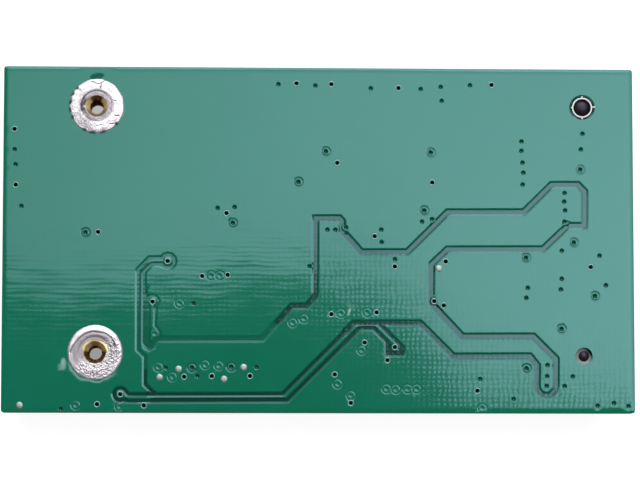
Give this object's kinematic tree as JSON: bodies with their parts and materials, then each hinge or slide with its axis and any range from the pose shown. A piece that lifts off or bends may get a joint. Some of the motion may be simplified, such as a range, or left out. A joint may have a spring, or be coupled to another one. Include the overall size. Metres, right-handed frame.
{
  "type": "ssd adapter board",
  "caption": "Adapter board for a solid-state drive card: a green circuit board with brass standoffs, an edge socket and a flat-cable connector with a sliding lock, solder side up.",
  "frame": {"origin": "middle of the board's outline, on the surface that the part lies on with its solder side up", "axes": "+X along the board towards the card socket, +Y across the board, +Z out of the solder side"},
  "size_m": [0.062, 0.034, 0.007],
  "materials": {
    "solder_mask": "glossy green mask over copper and glass laminate",
    "standoff_brass": "turned",
    "solder": "frosted hand-soldered",
    "socket_moulding": "moulded, matt",
    "plated_contact": "gold plated",
    "tinned_metal": "tin plated",
    "ribbon_moulding": "moulded, matt",
    "slider_moulding": "moulded, matt",
    "chip_moulding": "moulded, matt",
    "crystal_ceramic": "fired, matt",
    "crystal_metal": "plated",
    "bulk_moulding": "moulded, matt",
    "lamp_substrate": "laminate",
    "lamp_resin": "cast, clear",
    "capacitor_ceramic": "fired",
    "resistor_coat": "glazed",
    "bead_ferrite": "fired"
  },
  "bodies": {
    "board": {"bridge_chip_body": "chip_moulding", "bridge_chip_leads": "tinned_metal", "circuit_board": "solder_mask", "coupling_capacitor_1": "capacitor_ceramic", "coupling_capacitor_2": "capacitor_ceramic", "coupling_capacitor_3": "capacitor_ceramic", "coupling_capacitor_4": "capacitor_ceramic", "crystal_base": "crystal_ceramic", "crystal_lid": "crystal_metal", "decoupling_capacitor_1": "capacitor_ceramic", "decoupling_capacitor_2": "capacitor_ceramic", "decoupling_capacitor_3": "capacitor_ceramic", "decoupling_capacitor_4": "capacitor_ceramic", "decoupling_capacitor_5": "capacitor_ceramic", "decoupling_capacitor_6": "capacitor_ceramic", "decoupling_capacitor_7": "capacitor_ceramic", "decoupling_capacitor_8": "capacitor_ceramic", "filter_bead_1": "bead_ferrite", "indicator_lamp_base": "lamp_substrate", "indicator_lamp_lens": "lamp_resin", "input_bulk_capacitor_body": "bulk_moulding", "input_bulk_capacitor_straps": "tinned_metal", "line_resistor_array_1": "resistor_coat", "line_resistor_array_2": "resistor_coat", "line_resistor_array_3": "resistor_coat", "line_resistor_array_4": "resistor_coat", "line_resistor_array_5": "resistor_coat", "lower_standoff": "standoff_brass", "lower_standoff_solder": "solder", "output_bulk_capacitor_body": "bulk_moulding", "output_bulk_capacitor_straps": "tinned_metal", "pull_up_resistor_1": "resistor_coat", "pull_up_resistor_2": "resistor_coat", "pull_up_resistor_3": "resistor_coat", "pull_up_resistor_4": "resistor_coat", "regulator_body": "chip_moulding", "regulator_leads": "tinned_metal", "ribbon_contacts": "plated_contact", "ribbon_housing": "ribbon_moulding", "ribbon_lower_tab": "tinned_metal", "ribbon_upper_tab": "tinned_metal", "socket_housing": "socket_moulding", "socket_lower_contacts": "plated_contact", "socket_lower_hold_down": "tinned_metal", "socket_upper_contacts": "plated_contact", "socket_upper_hold_down": "tinned_metal", "upper_standoff": "standoff_brass", "upper_standoff_solder": "solder"},
    "lock_slider": {"ribbon_lock_slider": "slider_moulding"}
  },
  "joints": [
    {"name": "lock_slide", "type": "slide", "parent": "board", "child": "lock_slider", "axis": [-1, 0, 0], "range_m": [0, 0.001]}
  ]
}
